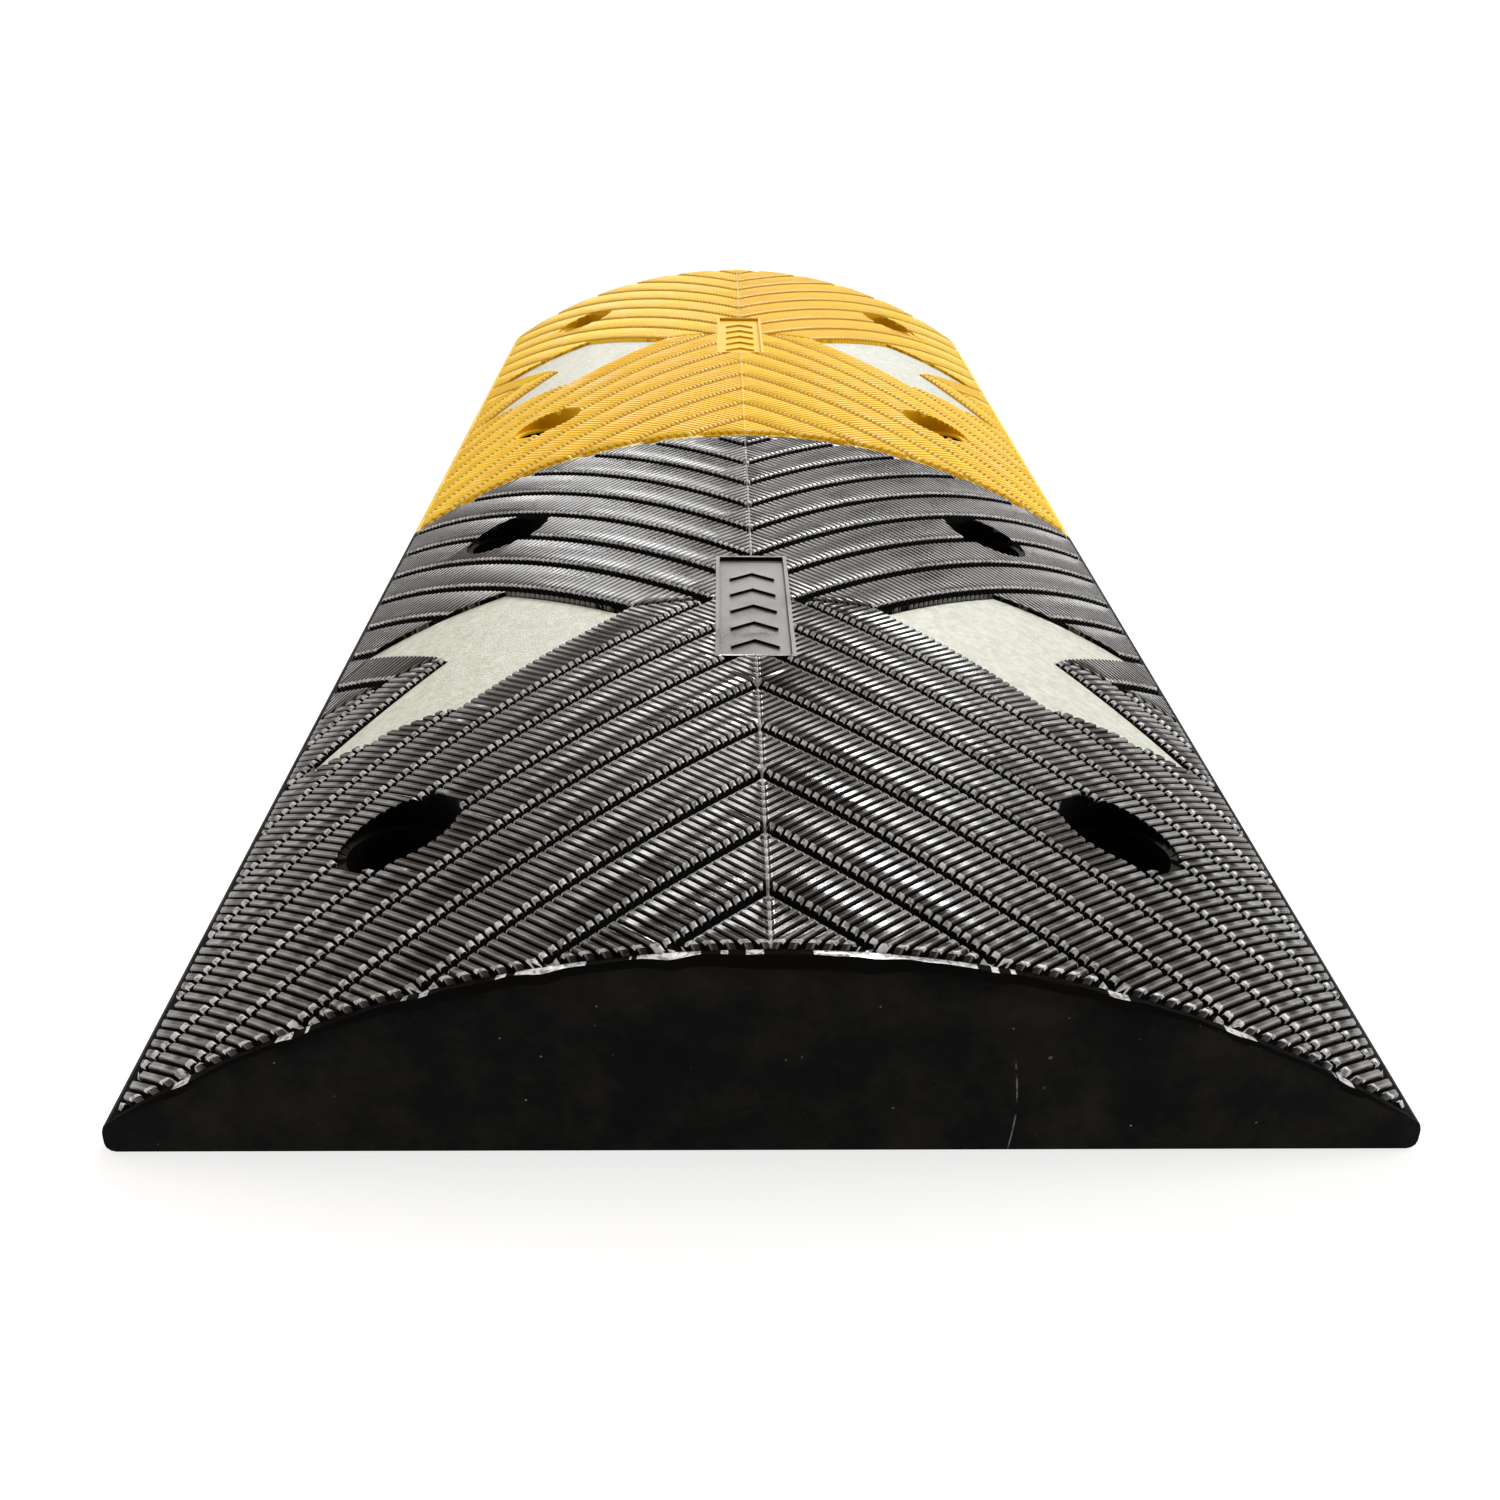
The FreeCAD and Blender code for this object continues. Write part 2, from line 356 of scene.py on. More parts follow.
def tread_plan():
    """The whole tread of a module: plan points, depths, and faces that share vertices."""
    xs, ys, depths, quads = [], [], [], []
    start = 0
    for along, groove_lines in ((-1, NEAR_LINES), (1, FAR_LINES)):
        reach_y = HALF_LENGTH - END_STRIP - along * TREAD_SHIFT
        for across in (-1, 1):
            x, y, depth, faces = tread_quarter(reach_y, groove_lines)
            xs.append(across * x)
            ys.append(along * y + TREAD_SHIFT)
            depths.append(depth)
            quads.append(faces + start)
            start += len(x)
    x, y, depth = np.concatenate(xs), np.concatenate(ys), np.concatenate(depths)
    keys = np.round(np.column_stack([x, y]) * MERGE_STEPS).astype(np.int64)
    _, keep, where = np.unique(keys, axis=0, return_index=True, return_inverse=True)
    merged = where.ravel()[np.concatenate(quads)]
    faces = []
    for quad in merged.tolist():
        corners = [c for i, c in enumerate(quad) if c != quad[i - 1]]
        if len(set(corners)) >= 3 and len(set(corners)) == len(corners):
            faces.append(corners)
    return x[keep], y[keep], depth[keep], faces


def bridge(row_a, row_b, place_a, place_b):
    """Faces between two rows of vertices that run side by side, by their places along them."""
    faces, a, b = [], 0, 0
    last_a, last_b = len(row_a) - 1, len(row_b) - 1
    while a < last_a or b < last_b:
        if a < last_a and b < last_b and abs(place_a[a + 1] - place_b[b + 1]) < 1e-9:
            faces.append((row_a[a], row_a[a + 1], row_b[b + 1], row_b[b]))
            a, b = a + 1, b + 1
        elif b == last_b or (a < last_a and place_a[a + 1] < place_b[b + 1]):
            faces.append((row_a[a], row_a[a + 1], row_b[b]))
            a += 1
        else:
            faces.append((row_a[a], row_b[b + 1], row_b[b]))
            b += 1
    return faces


def lip_profile():
    """Places (x, z) of the rings of a side lip, from the dome's edge down to the underside."""
    top_x = HALF_WIDTH - LIP_TOP_RADIUS
    reach = DOME_RADIUS - LIP_TOP_RADIUS
    top_z = DOME_AXIS + math.sqrt(reach**2 - top_x**2)
    slope = 90 - math.degrees(math.acos(top_x / reach))
    rings = []
    for angle in np.linspace(slope, 0, 5)[1:]:
        turn = math.radians(angle)
        x = top_x + LIP_TOP_RADIUS * math.cos(turn)
        rings.append((x, top_z + LIP_TOP_RADIUS * math.sin(turn)))
    bottom_x = HALF_WIDTH - LIP_BOTTOM_RADIUS
    for angle in (0, 30, 60, 90):
        turn = math.radians(angle)
        x = bottom_x + LIP_BOTTOM_RADIUS * math.cos(turn)
        rings.append((x, LIP_BOTTOM_RADIUS * (1 - math.sin(turn))))
    return rings


def sides_of(x, y):
    """Boundary vertices of the tread as four rows: near end, right side, far end, left side.
    Each row comes with the places of its vertices along it, from 0 to 1."""
    near, far = y.min(), y.max()
    picks = [
        (np.abs(y - near) < 1e-3, x, 1),
        (np.abs(x - TREAD_REACH) < 1e-3, y, 1),
        (np.abs(y - far) < 1e-3, x, -1),
        (np.abs(x + TREAD_REACH) < 1e-3, y, -1),
    ]
    rows = []
    for chosen, along, sign in picks:
        numbers = np.flatnonzero(chosen)
        numbers = numbers[np.argsort(sign * along[numbers])]
        place = sign * along[numbers]
        rows.append((numbers.tolist(), (place - place[0]) / (place[-1] - place[0])))
    return rows


def strip_wave(x, seed, pitch):
    """An uneven wave along an end face, about -1 to 1, with `pitch` mm from wave to wave."""
    return np.array([noise.noise(Vector((value / pitch, seed, 0.5))) for value in x])


def outlets(x, reach_y):
    """1 where a groove runs out at an end of the module, falling to 0 between the grooves."""
    _, offset = lattice_offsets(0, (reach_y - np.abs(x)) / ROOT_2)
    return np.exp(-np.square(offset / OUTLET_WIDTH))


def end_outlets(x, side):
    """The outlets along the near or the far end face, at places x across."""
    shift = TREAD_SHIFT if side == NEAR_END else -TREAD_SHIFT
    return outlets(x, HALF_LENGTH - END_STRIP + shift)


def corner_fade(x, side_x):
    """1 along most of an end face, falling to 0 at the corners of a ring that reaches side_x."""
    return np.clip((side_x - np.abs(x)) / CORNER_FADE, 0, 1)


def mould_line(x, side_x, side, seed):
    """Depth under the dome of the mould line along an end face, for a ring that reaches side_x."""
    ripple = strip_wave(x, seed + side, RIPPLE_PITCH)
    swell = strip_wave(x, seed + side + MOULD_SEED, MOULD_PITCH)
    fade = corner_fade(x, side_x)
    room = (dome_height(x) - SIDE_DEPTH) * MOULD_SHARE * fade
    depth = SIDE_DEPTH + room * (1 + MOULD_SWELL * swell)
    edge_depth = EDGE_RINGS[-1][3]
    depth = np.maximum(depth, SIDE_DEPTH + (edge_depth + MOULD_GAP - SIDE_DEPTH) * fade)
    return depth + fade * (OUTLET_DROP * end_outlets(x, side) + RIPPLE_DROP * ripple)


def end_strip(number, x, side, seed):
    """Inset and depth of a ring of the strip along an end face, at places x across. Where a
    groove runs out the strip bulges down over the end face, and the mould line follows."""
    side_x, inset, side_depth, end_depth = STRIP_RINGS[number]
    fade = corner_fade(x, side_x)
    if number >= len(EDGE_RINGS):
        return inset, mould_line(x, side_x, side, seed) + end_depth * fade
    depth = side_depth + (end_depth - side_depth) * fade
    if number > 0:
        outlet = end_outlets(x, side)
        ripple = strip_wave(x, seed + side, RIPPLE_PITCH)
        drop = CREST_DROP if number == 1 else OUTLET_DROP
        inset = inset - fade * (OUTLET_BULGE * outlet + RIPPLE_INSET * ripple)
        depth = depth + fade * (drop * outlet + RIPPLE_DROP * ripple)
    return np.clip(inset, 0, END_STRIP), depth


def plan_row(side, places, side_x, inset):
    """Plan points of a ring along one side of the module, all but the last of its places."""
    run = 2 * places[:-1] - 1
    if side in (FAR_END, LEFT_SIDE):
        run = -run
    if side in (NEAR_END, FAR_END):
        end_y = -HALF_LENGTH if side == NEAR_END else HALF_LENGTH
        return run * side_x, np.full(len(run), end_y)
    row_x = side_x if side == RIGHT_SIDE else -side_x
    return np.full(len(run), row_x), run * (HALF_LENGTH - inset)


def strip_row(number, side, places, seed):
    """Points of a ring of the moulded strip, along one side of the module."""
    side_x, inset, side_depth, _ = STRIP_RINGS[number]
    x, y = plan_row(side, places, side_x, inset)
    if side in (NEAR_END, FAR_END):
        end_inset, depth = end_strip(number, x, side, seed)
        return below_dome(x, y - np.sign(y) * end_inset, depth)
    return below_dome(x, y, side_depth)


def lip_row(ring, side, places):
    """Points of a ring of the lips, along one side of the module. Away from its corners an
    end face has the rings shared out over its whole height."""
    side_x, side_z = ring
    x, y = plan_row(side, places, side_x, 0)
    strip_x = STRIP_RINGS[-1][0]
    strip_z = dome_height(strip_x) - SIDE_DEPTH
    edge = dome_height(x * strip_x / side_x) - SIDE_DEPTH
    z = edge * (side_z / strip_z) ** (1 + LIP_BEND * corner_fade(x, side_x))
    return np.column_stack([x, y, z])


def module_blank(name, middle, seed):
    """One module as a closed solid: the tread, the smooth strip round it, lips and underside."""
    x, y, depth, faces = tread_plan()
    points = [below_dome(x, y, depth)]
    total = len(x)
    rows = sides_of(x, y)
    lips = lip_profile()
    for number in range(len(STRIP_RINGS) + len(lips)):
        new_rows = []
        for side, (_, places) in enumerate(rows):
            if number < len(STRIP_RINGS):
                row = strip_row(number, side, places, seed)
            else:
                places = np.linspace(0, 1, LIP_STEPS[side])
                row = lip_row(lips[number - len(STRIP_RINGS)], side, places)
            new_rows.append((list(range(total, total + len(row))), places))
            total += len(row)
            points.append(row)
        closed = []
        for side, (numbers, places) in enumerate(new_rows):
            closed.append((numbers + [new_rows[(side + 1) % 4][0][0]], places))
        for (inner, inner_places), (outer, outer_places) in zip(rows, closed):
            faces += bridge(inner, outer, inner_places, outer_places)
        rows = closed
    faces.append([number for numbers, _ in rows for number in numbers[:-1]])
    return make_object(name, np.vstack(points), faces, middle)


# ---------------------------------------------------------------- what is cut out


def lathe(name, profile, x, y, middle):
    """A closed solid turned round an upright axis at (x, y), from (radius, height) pairs."""
    points, faces = [], []
    steps = LATHE_STEPS
    turns = np.linspace(0, 2 * math.pi, steps, endpoint=False)
    for radius, height in profile:
        for turn in turns:
            points.append((x + radius * math.cos(turn), y + radius * math.sin(turn), height))
    for ring in range(len(profile) - 1):
        low, high = ring * steps, (ring + 1) * steps
        for step in range(steps):
            following = (step + 1) % steps
            faces.append((low + step, low + following, high + following, high + step))
    faces.append(list(range(steps)))
    faces.append(list(range((len(profile) - 1) * steps, len(profile) * steps)))
    return make_object(name, points, faces, middle)


def bolt_places():
    """Plan places of a module's four bolts."""
    return [(across * BOLT_X, along * BOLT_Y) for across in (-1, 1) for along in (-1, 1)]


def bolt_opening(x, y, middle):
    """The wide mouth, the socket and the bolt hole of one bolt position, as one tool."""
    profile = [
        (BOLT_HOLE_RADIUS, -OVERRUN),
        (BOLT_HOLE_RADIUS, SOCKET_FLOOR),
        (SOCKET_RADIUS, SOCKET_FLOOR),
        (SOCKET_RADIUS, LEDGE_HEIGHT),
        (MOUTH_RADIUS, LEDGE_HEIGHT),
        (MOUTH_RADIUS, CROWN + OVERRUN),
    ]
    return lathe("bolt_opening", profile, x, y, middle)


def arrow_outline(gap):
    """Corners of the right-hand arrow widened by `gap`, in order from its tip."""
    aside = ROOT_2 * gap
    half = ARROW_HALF_WIDTH + gap
    slope = (ARROW_SHOULDER_X - ARROW_TIP_X) / ARROW_HALF_WIDTH
    back_slope = (ARROW_TAIL_X - ARROW_NOTCH_X) / ARROW_HALF_WIDTH
    tip, notch = ARROW_TIP_X - aside, ARROW_NOTCH_X + aside
    shoulder, tail = tip + half * slope, notch + half * back_slope
    return [
        (tip, 0),
        (shoulder, half),
        (tail, half),
        (notch, 0),
        (tail, -half),
        (shoulder, -half),
    ]


def arrow_recess(across, middle):
    """The tool that cuts an arrow's recess, its lower face parallel to the dome."""
    tool = bmesh.new()
    corners = [tool.verts.new((x, y, 0)) for x, y in arrow_outline(RECESS_GAP)]
    tool.faces.new(corners)
    for place in np.arange(ARROW_TIP_X, ARROW_TAIL_X, ARROW_STEP):
        geometry = tool.verts[:] + tool.edges[:] + tool.faces[:]
        bmesh.ops.bisect_plane(
            tool, geom=geometry, plane_co=(place, 0, 0), plane_no=(1, 0, 0), dist=1e-4
        )
    lower = tool.verts[:]
    risen = bmesh.ops.extrude_face_region(tool, geom=tool.faces[:])
    for item in risen["geom"]:
        if isinstance(item, bmesh.types.BMVert):
            item.co.z = CROWN + OVERRUN
    for vertex in lower:
        vertex.co.z = float(dome_height(vertex.co.x)) - ARROW_RECESS
    points = [(across * v.co.x, across * v.co.y, v.co.z) for v in tool.verts]
    tool.verts.index_update()
    faces = [[v.index for v in face.verts] for face in tool.faces]
    tool.free()
    return make_object("arrow_recess", points, faces, middle)


def loft(name, first, second, middle):
    """A closed solid between two outlines with the same number of corners."""
    count = len(first)
    faces = [list(range(count)), list(range(count, 2 * count))]
    for i in range(count):
        following = (i + 1) % count
        faces.append((i, following, following + count, i + count))
    return make_object(name, first + second, faces, middle)


def prism(name, outline, low_z, high_z, middle):
    """An upright solid on an outline of plan points."""
    low, high = ([(x, y, z) for x, y in outline] for z in (low_z, high_z))
    return loft(name, low, high, middle)


def plate_block(name, margin, low_z, high_z, middle):
    """A rectangular solid as large as the name plate, with a margin all round it."""
    half_x, half_y = PLATE_WIDTH / 2 + margin, PLATE_LENGTH / 2 + margin
    outline = [(-half_x, -half_y), (half_x, -half_y), (half_x, half_y), (-half_x, half_y)]
    return prism(name, outline, low_z, high_z, middle)


def chevron(y, low_z, high_z, middle):
    """A raised V-shaped mark in the name-plate pocket."""
    half, rise = PLATE_WIDTH * CHEVRON_REACH, CHEVRON_RISE / 2
    upper = [(-half, y - rise), (0, y + rise), (half, y - rise)]
    lower = [(px, py - CHEVRON_THICKNESS) for px, py in reversed(upper)]
    return prism("chevron", upper + lower, low_z, high_z, middle)


def plate_parts(middle):
    """The moulded border of the name-plate pocket and the raised marks in it."""
    floor = CROWN - PLATE_DEPTH
    foot, top = floor - PLATE_RIM_ROOT, CROWN - PLATE_RIM_DROP
    rim = plate_block("plate_rim", PLATE_RIM, foot, top, middle)
    hollow = plate_block("plate_hollow", 0, floor, CROWN + OVERRUN, middle)
    parts = [combine(rim, "DIFFERENCE", [hollow])]
    for step in range(CHEVRON_COUNT):
        y = (step - CHEVRON_COUNT // 2) * CHEVRON_PITCH
        parts.append(chevron(y, floor - CHEVRON_ROOT, floor + CHEVRON_HEIGHT, middle))
    return parts


def core_tool(middle):
    """The black base that the yellow cover fits over, run past both ends and the road."""
    radius = DOME_RADIUS - COVER_THICKNESS
    reach = math.sqrt(radius**2 - DOME_AXIS**2)
    arc = np.linspace(-reach, reach, CORE_STEPS)
    profile = [(x, DOME_AXIS + math.sqrt(max(radius**2 - x**2, 0))) for x in arc]
    profile = [(-reach, -OVERRUN)] + profile + [(reach, -OVERRUN)]
    end = HALF_LENGTH + OVERRUN
    near, far = ([(x, y, z) for x, z in profile] for y in (-end, end))
    core = loft("core", near, far, middle)
    cup = [(SEAT_RADIUS, SEAT_TOP), (SEAT_RADIUS, CROWN + OVERRUN)]
    seat = [(SEAT_RADIUS, -OVERRUN), (SEAT_RADIUS, SEAT_TOP)]
    cups = [lathe("cup", cup, x, y, middle) for x, y in bolt_places()]
    core = combine(core, "DIFFERENCE", cups)
    seats = [lathe("seat", seat, x, y, middle) for x, y in bolt_places()]
    return combine(core, "UNION", seats)


def openings(middle):
    """Every tool that cuts a module's top: bolt openings, arrow recesses, plate pocket."""
    tools = [bolt_opening(x, y, middle) for x, y in bolt_places()]
    tools += [arrow_recess(across, middle) for across in (-1, 1)]
    margin = PLATE_RIM - PLATE_OVERLAP / 2
    floor = CROWN - PLATE_DEPTH
    tools.append(plate_block("plate_pocket", margin, floor, CROWN + OVERRUN, middle))
    return tools


# ---------------------------------------------------------------- materials


def new_material(name):
    """An empty node material, its node tree and its Principled shader."""
    material = bpy.data.materials.new(name)
    material.use_nodes = True
    tree = material.node_tree
    return material, tree, tree.nodes["Principled BSDF"]


def add_node(tree, kind, **values):
    """A new node with some sockets set; an underscore stands for a space in a socket's name."""
    node = tree.nodes.new(kind)
    for socket, value in values.items():
        node.inputs[socket.replace("_", " ")].default_value = value
    return node


def texture(tree, kind, output, **values):
    """An output of a texture that is fixed to the object; Scale counts its cells per metre."""
    place = tree.nodes.get("place") or tree.nodes.new("ShaderNodeTexCoord")
    place.name = "place"
    pattern = add_node(tree, kind, **values)
    tree.links.new(place.outputs["Object"], pattern.inputs["Vector"])
    return pattern.outputs[output]


def ranged(tree, value, start, end, low, high):
    """A value stretched from the range start to end onto low to high, and held there."""
    stretch = add_node(
        tree, "ShaderNodeMapRange", From_Min=start, From_Max=end, To_Min=low, To_Max=high
    )
    tree.links.new(value, stretch.inputs["Value"])
    return stretch.outputs["Result"]


def calculate(tree, operation, first, second):
    """A Math node on two values, each a number or a socket."""
    step = tree.nodes.new("ShaderNodeMath")
    step.operation = operation
    for socket, value in zip(step.inputs, (first, second)):
        if isinstance(value, (int, float)):
            socket.default_value = value
        else:
            tree.links.new(value, socket)
    return step.outputs["Value"]


def blended(tree, factor, low, high):
    """A colour between two others, each a plain colour or a socket."""
    mix = tree.nodes.new("ShaderNodeMix")
    mix.data_type = "RGBA"
    tree.links.new(factor, mix.inputs["Factor"])
    for socket, colour in (("A", low), ("B", high)):
        if isinstance(colour, tuple):
            mix.inputs[socket].default_value = (*colour, 1)
        else:
            tree.links.new(colour, mix.inputs[socket])
    return mix.outputs["Result"]


def place_parts(tree):
    """X, Y and Z of the place on the object, in metres, once a texture is in the tree."""
    parts = tree.nodes.new("ShaderNodeSeparateXYZ")
    tree.links.new(tree.nodes["place"].outputs["Object"], parts.inputs["Vector"])
    return parts.outputs


def roughen(tree, shader, height, strength, distance):
    """A bump from a height pattern; `distance` is its height in metres at full strength."""
    grain = add_node(tree, "ShaderNodeBump", Strength=strength, Distance=distance)
    tree.links.new(height, grain.inputs["Height"])
    tree.links.new(grain.outputs["Normal"], shader.inputs["Normal"])


def rib_highlight_line(tree, middle):
    """Where a painted highlight goes: 1 along a thin line near the outer edge of every rib's top,
    0 between the lines.
    """
    place = place_parts(tree)
    across = calculate(tree, "ABSOLUTE", place["X"], 0)
    from_shift = calculate(tree, "SUBTRACT", place["Y"], (middle + TREAD_SHIFT) * MM)
    along = calculate(tree, "ABSOLUTE", from_shift, 0)
    reach = calculate(tree, "ADD", across, along)
    ribs = calculate(tree, "MULTIPLY", reach, 1 / (ROOT_2 * RIB_PITCH * MM))
    shifted = calculate(tree, "ADD", ribs, 0.5 - LINE_PLACE / RIB_PITCH)
    share = calculate(tree, "FRACT", shifted, 0)
    aside = calculate(tree, "ABSOLUTE", calculate(tree, "SUBTRACT", share, 0.5), 0)
    half = LINE_WIDTH / 2 / RIB_PITCH
    return ranged(tree, aside, half * 0.5, half * 1.5, 1, 0)


def rubber(name, low, high, roughness, specular, dust=0.0, speckle=0.0, line=None):
    """Moulded rubber with patchy colour and gloss. Where they are asked for it has pale dust,
    dark speckles, and a painted highlight: a light line along each rib of the module whose
    middle is `line`."""
    material, tree, shader = new_material(name)
    patches = texture(
        tree, "ShaderNodeTexNoise", "Fac", Scale=18, Detail=8, Roughness=0.6, Distortion=1.2
    )
    grain = texture(tree, "ShaderNodeTexNoise", "Fac", Scale=900, Detail=3)
    colour = blended(tree, ranged(tree, patches, *PATCHES, 0, 1), low, high)
    if dust:
        colour = blended(tree, ranged(tree, grain, 0.6, 0.75, 0, dust), colour, DUST)
    if speckle:
        spots = texture(tree, "ShaderNodeTexNoise", "Fac", Scale=620, Detail=1)
        colour = blended(tree, ranged(tree, spots, 0.5, 0.58, 0, speckle), colour, SPECKLE)
    # A painted highlight: a pale line along each rib's top, stronger in some patches.
    if line is not None:
        strength = ranged(tree, patches, *PATCHES, PAINTED_LINE_STRENGTH * 0.6, PAINTED_LINE_STRENGTH)
        lit = calculate(tree, "MULTIPLY", rib_highlight_line(tree, line), strength)
        colour = blended(tree, lit, colour, PAINTED_LINE_COLOUR)
    tree.links.new(colour, shader.inputs["Base Color"])
    gloss = ranged(tree, patches, *PATCHES, *roughness)
    tree.links.new(gloss, shader.inputs["Roughness"])
    shader.inputs["Specular IOR Level"].default_value = specular
    roughen(tree, shader, grain, 0.25, 0.0002)
    return material


def speckled(tree, colour, cells, size):
    """A colour with pale specks: some of the cells, `cells` to the metre, carry one in the
    middle, and `size` is its radius as a share of the cell."""
    distance = texture(tree, "ShaderNodeTexVoronoi", "Distance", Scale=cells)
    cell = texture(tree, "ShaderNodeTexVoronoi", "Color", Scale=cells)
    parts = tree.nodes.new("ShaderNodeSeparateColor")
    tree.links.new(cell, parts.inputs["Color"])
    spot = ranged(tree, distance, size * 0.4, size, 1, 0)
    chosen = ranged(tree, parts.outputs["Red"], 0.65, 1.0, 0, 0.7)
    return blended(tree, calculate(tree, "MULTIPLY", spot, chosen), colour, DUST)


def scratch(tree):
    """How strongly a fine, bent and broken scratch shows, from 0 to 1."""
    place = place_parts(tree)
    turns = calculate(tree, "MULTIPLY", place["Z"], SCRATCH_TURN)
    sway = calculate(tree, "MULTIPLY", calculate(tree, "SINE", turns, 0), SCRATCH_SWAY)
    line = calculate(tree, "ADD", sway, SCRATCH_X)
    aside = calculate(tree, "ABSOLUTE", calculate(tree, "SUBTRACT", place["X"], line), 0)
    fine = ranged(tree, aside, *SCRATCH_EDGE, 0.35, 0)
    low = ranged(tree, place["Z"], *SCRATCH_TOP, 1, 0)
    breaks = texture(tree, "ShaderNodeTexNoise", "Fac", Scale=220)
    broken = ranged(tree, breaks, 0.42, 0.6, 0, 1)
    return calculate(tree, "MULTIPLY", calculate(tree, "MULTIPLY", fine, low), broken)


def plain_rubber(name):
    """Matte black rubber of the end faces: brownish clouds, dust specks and a fine scratch."""
    material, tree, shader = new_material(name)
    clouds = texture(tree, "ShaderNodeTexNoise", "Fac", Scale=45, Detail=9, Roughness=0.72)
    black, brown = (0.0012, 0.0011, 0.0009), (0.010, 0.0085, 0.0045)
    colour = blended(tree, ranged(tree, clouds, 0.45, 0.75, 0, 1), black, brown)
    for cells, size in SPECKS:
        colour = speckled(tree, colour, cells, size)
    colour = blended(tree, scratch(tree), colour, DUST)
    tree.links.new(colour, shader.inputs["Base Color"])
    tree.links.new(ranged(tree, clouds, 0.3, 0.7, 0.75, 0.5), shader.inputs["Roughness"])
    shader.inputs["Specular IOR Level"].default_value = 0.06
    grain = texture(tree, "ShaderNodeTexNoise", "Fac", Scale=700, Detail=3)
    roughen(tree, shader, grain, 0.2, 0.0002)
    return material


def bead_sheet(name):
    """Off-white reflective sheet: glass beads in a binder, crazed with slightly darker veins."""
    material, tree, shader = new_material(name)
    clouds = texture(tree, "ShaderNodeTexNoise", "Fac", Scale=240, Detail=5, Distortion=0.8)
    veins = texture(tree, "ShaderNodeTexNoise", "Fac", Scale=420, Detail=4, Distortion=2.0)
    beads = texture(tree, "ShaderNodeTexVoronoi", "Distance", Scale=900)
    dull, bright, vein_colour = (0.58, 0.59, 0.49), (0.74, 0.75, 0.66), (0.42, 0.45, 0.38)
    colour = blended(tree, ranged(tree, clouds, *PATCHES, 0, 1), dull, bright)
    from_vein = calculate(tree, "ABSOLUTE", calculate(tree, "SUBTRACT", veins, 0.5), 0)
    colour = blended(tree, ranged(tree, from_vein, 0, 0.035, 0.5, 0), colour, vein_colour)
    tree.links.new(colour, shader.inputs["Base Color"])
    shader.inputs["Roughness"].default_value = 0.5
    shader.inputs["Specular IOR Level"].default_value = 0.3
    roughen(tree, shader, beads, 0.5, 0.0004)
    return material


# ---------------------------------------------------------------- which face gets what


def face_places(mesh, middle):
    """Middles of a mesh's faces in the module's own plan, and their normals, as x, y and z."""
    places, normals = np.empty(len(mesh.polygons) * 3), np.empty(len(mesh.polygons) * 3)
    mesh.polygons.foreach_get("center", places)
    mesh.polygons.foreach_get("normal", normals)
    x, y, z = (places.reshape(-1, 3) / MM).T
    return (x, y - middle, z), normals.reshape(-1, 3).T


def between(value, span):
    """Where a value is inside a span."""
    return (value > span[0]) & (value < span[1])


def strip_painted_highlights(x, y, from_end, seed):
    """Where the strip along an end face gets painted highlights: flecks where grooves run out, and
    a thin broken line near the crown."""
    reach_y = HALF_LENGTH - END_STRIP + np.where(y < 0, TREAD_SHIFT, -TREAD_SHIFT)
    fleck = strip_wave(x, seed + FLECK_SEED, FLECK_PITCH) > FLECK_LEVEL
    crest = strip_wave(x, seed + CREST_SEED, CREST_PITCH) > CREST_LEVEL
    lobe = (outlets(x, reach_y) > OUTLET_SHINE) & fleck
    thin = (np.abs(x) < CREST_X) & crest & (from_end < CREST_EDGE)
    return (lobe | thin) & (np.abs(x) < STRIP_SHINE_X)


